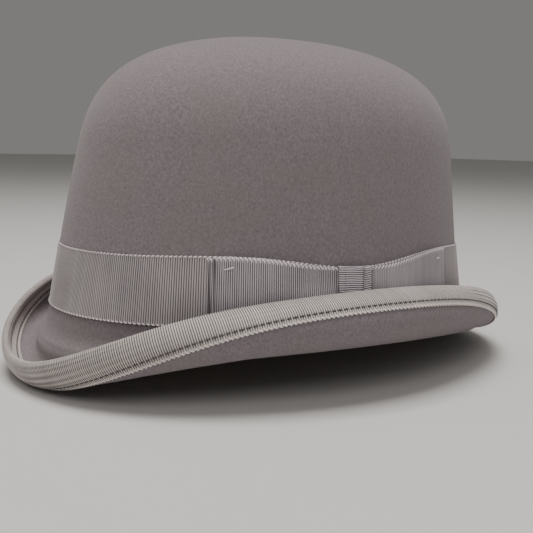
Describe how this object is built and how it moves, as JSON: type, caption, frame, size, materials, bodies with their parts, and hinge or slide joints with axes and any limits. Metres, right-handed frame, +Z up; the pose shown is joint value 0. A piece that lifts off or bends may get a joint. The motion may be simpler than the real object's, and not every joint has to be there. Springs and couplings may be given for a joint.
{
  "type": "bowler hat",
  "caption": "Hard felt hat with a round crown, a curled and bound brim, a ribbon band with a flat bow, a leather sweatband and a lining.",
  "frame": {"origin": "middle of the hat's outline, on the surface that the hat stands on", "axes": "+Z up to the top of the crown, -Y to the front of the hat, +X to the wearer's left, where the bow is"},
  "size_m": [0.2112, 0.272, 0.1595],
  "materials": {
    "felt": "matt grey fur felt with a short nap",
    "ribbon": "grey ribbed ribbon with a soft sheen",
    "binding": "light grey ribbed ribbon with a soft sheen",
    "thread": "pale grey sewing thread",
    "binding_thread": "dark grey sewing thread",
    "leather": "brown sheepskin, semi-matt",
    "reed": "plain cord",
    "tape": "dark grey woven tape",
    "lining": "pale grey satin"
  },
  "bodies": {
    "root": {"felt_body": "felt", "hat_band": "ribbon", "bow_front_loop": "ribbon", "bow_rear_loop": "ribbon", "bow_knot": "ribbon", "bow_tack_stitches": "thread", "brim_binding": "binding", "binding_stitches_outer": "binding_thread", "binding_stitches_inner": "binding_thread", "sweatband": "leather", "sweatband_reed": "reed", "reed_tape": "tape", "sweatband_stitches": "thread", "sweatband_bow": "tape", "lining_side": "lining", "lining_tip": "lining", "lining_piping": "tape"}
  },
  "joints": []
}
